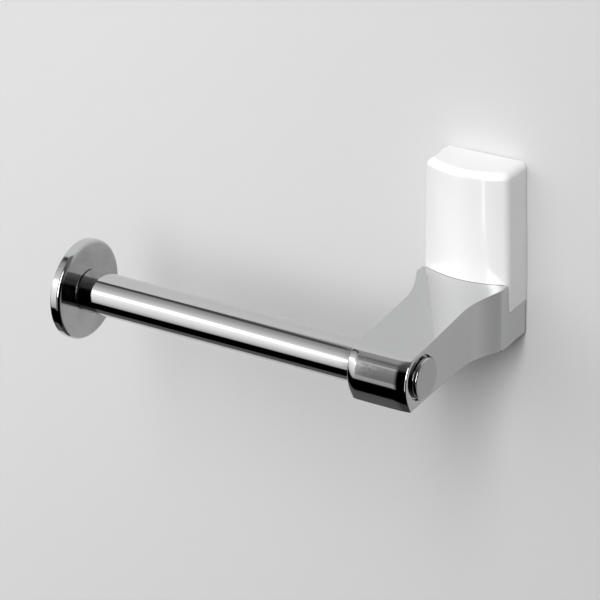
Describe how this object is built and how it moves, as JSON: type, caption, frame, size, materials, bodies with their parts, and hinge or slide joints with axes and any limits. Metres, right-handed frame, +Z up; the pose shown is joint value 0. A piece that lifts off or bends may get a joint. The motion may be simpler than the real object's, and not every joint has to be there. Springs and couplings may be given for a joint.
{
  "type": "wall-mounted paper roll holder",
  "caption": "Wall-mounted paper roll holder: a chrome arm with a white lift-off cover carries a round bar with an end disc that spins and pulls out sideways to take a new roll.",
  "frame": {"origin": "centre of the wall plate's back face, on the wall plane", "axes": "+X to the right along the bar, away from its end disc; +Y into the wall; +Z up"},
  "size_m": [0.1702, 0.1246, 0.0853],
  "materials": {
    "plate_zinc": "zinc plated, dull",
    "fixing_steel": "stainless, satin",
    "plug_nylon": "grey moulded nylon",
    "spring_steel": "rolled spring steel",
    "arm_chrome": "polished chrome on a casting",
    "bar_chrome": "polished chrome tube",
    "disc_chrome": "polished chrome, turned face",
    "plug_chrome": "polished chrome",
    "grub_black": "black oxide",
    "insert_brass": "turned brass",
    "ring_rubber": "black rubber",
    "cover_white": "gloss white"
  },
  "bodies": {
    "bracket": {"wall_plate": "plate_zinc", "wall_screw_upper": "fixing_steel", "wall_screw_lower": "fixing_steel", "washer_upper": "fixing_steel", "washer_lower": "fixing_steel", "wall_plug_upper": "plug_nylon", "wall_plug_lower": "plug_nylon", "cover_spring": "spring_steel", "spring_rivet": "fixing_steel", "arm_casting": "arm_chrome", "grub_screw": "grub_black"},
    "cover": {"cover": "cover_white"},
    "bar_seat": {"grip_ring_inner": "ring_rubber", "grip_ring_outer": "ring_rubber"},
    "bar": {"bar_tube": "bar_chrome", "tube_insert": "insert_brass", "disc_stud": "fixing_steel", "end_disc": "disc_chrome", "end_plug": "plug_chrome"}
  },
  "joints": [
    {"name": "cover_lift", "type": "slide", "parent": "bracket", "child": "cover", "axis": [0, 0, 1], "range_m": [0, 0.062]},
    {"name": "bar_spin", "type": "hinge", "parent": "bracket", "child": "bar_seat", "pos_m": [0, -0.075, -0.0265], "axis": [1, 0, 0], "continuous": true},
    {"name": "bar_pull", "type": "slide", "parent": "bar_seat", "child": "bar", "axis": [-1, 0, 0], "range_m": [0, 0.032]}
  ]
}
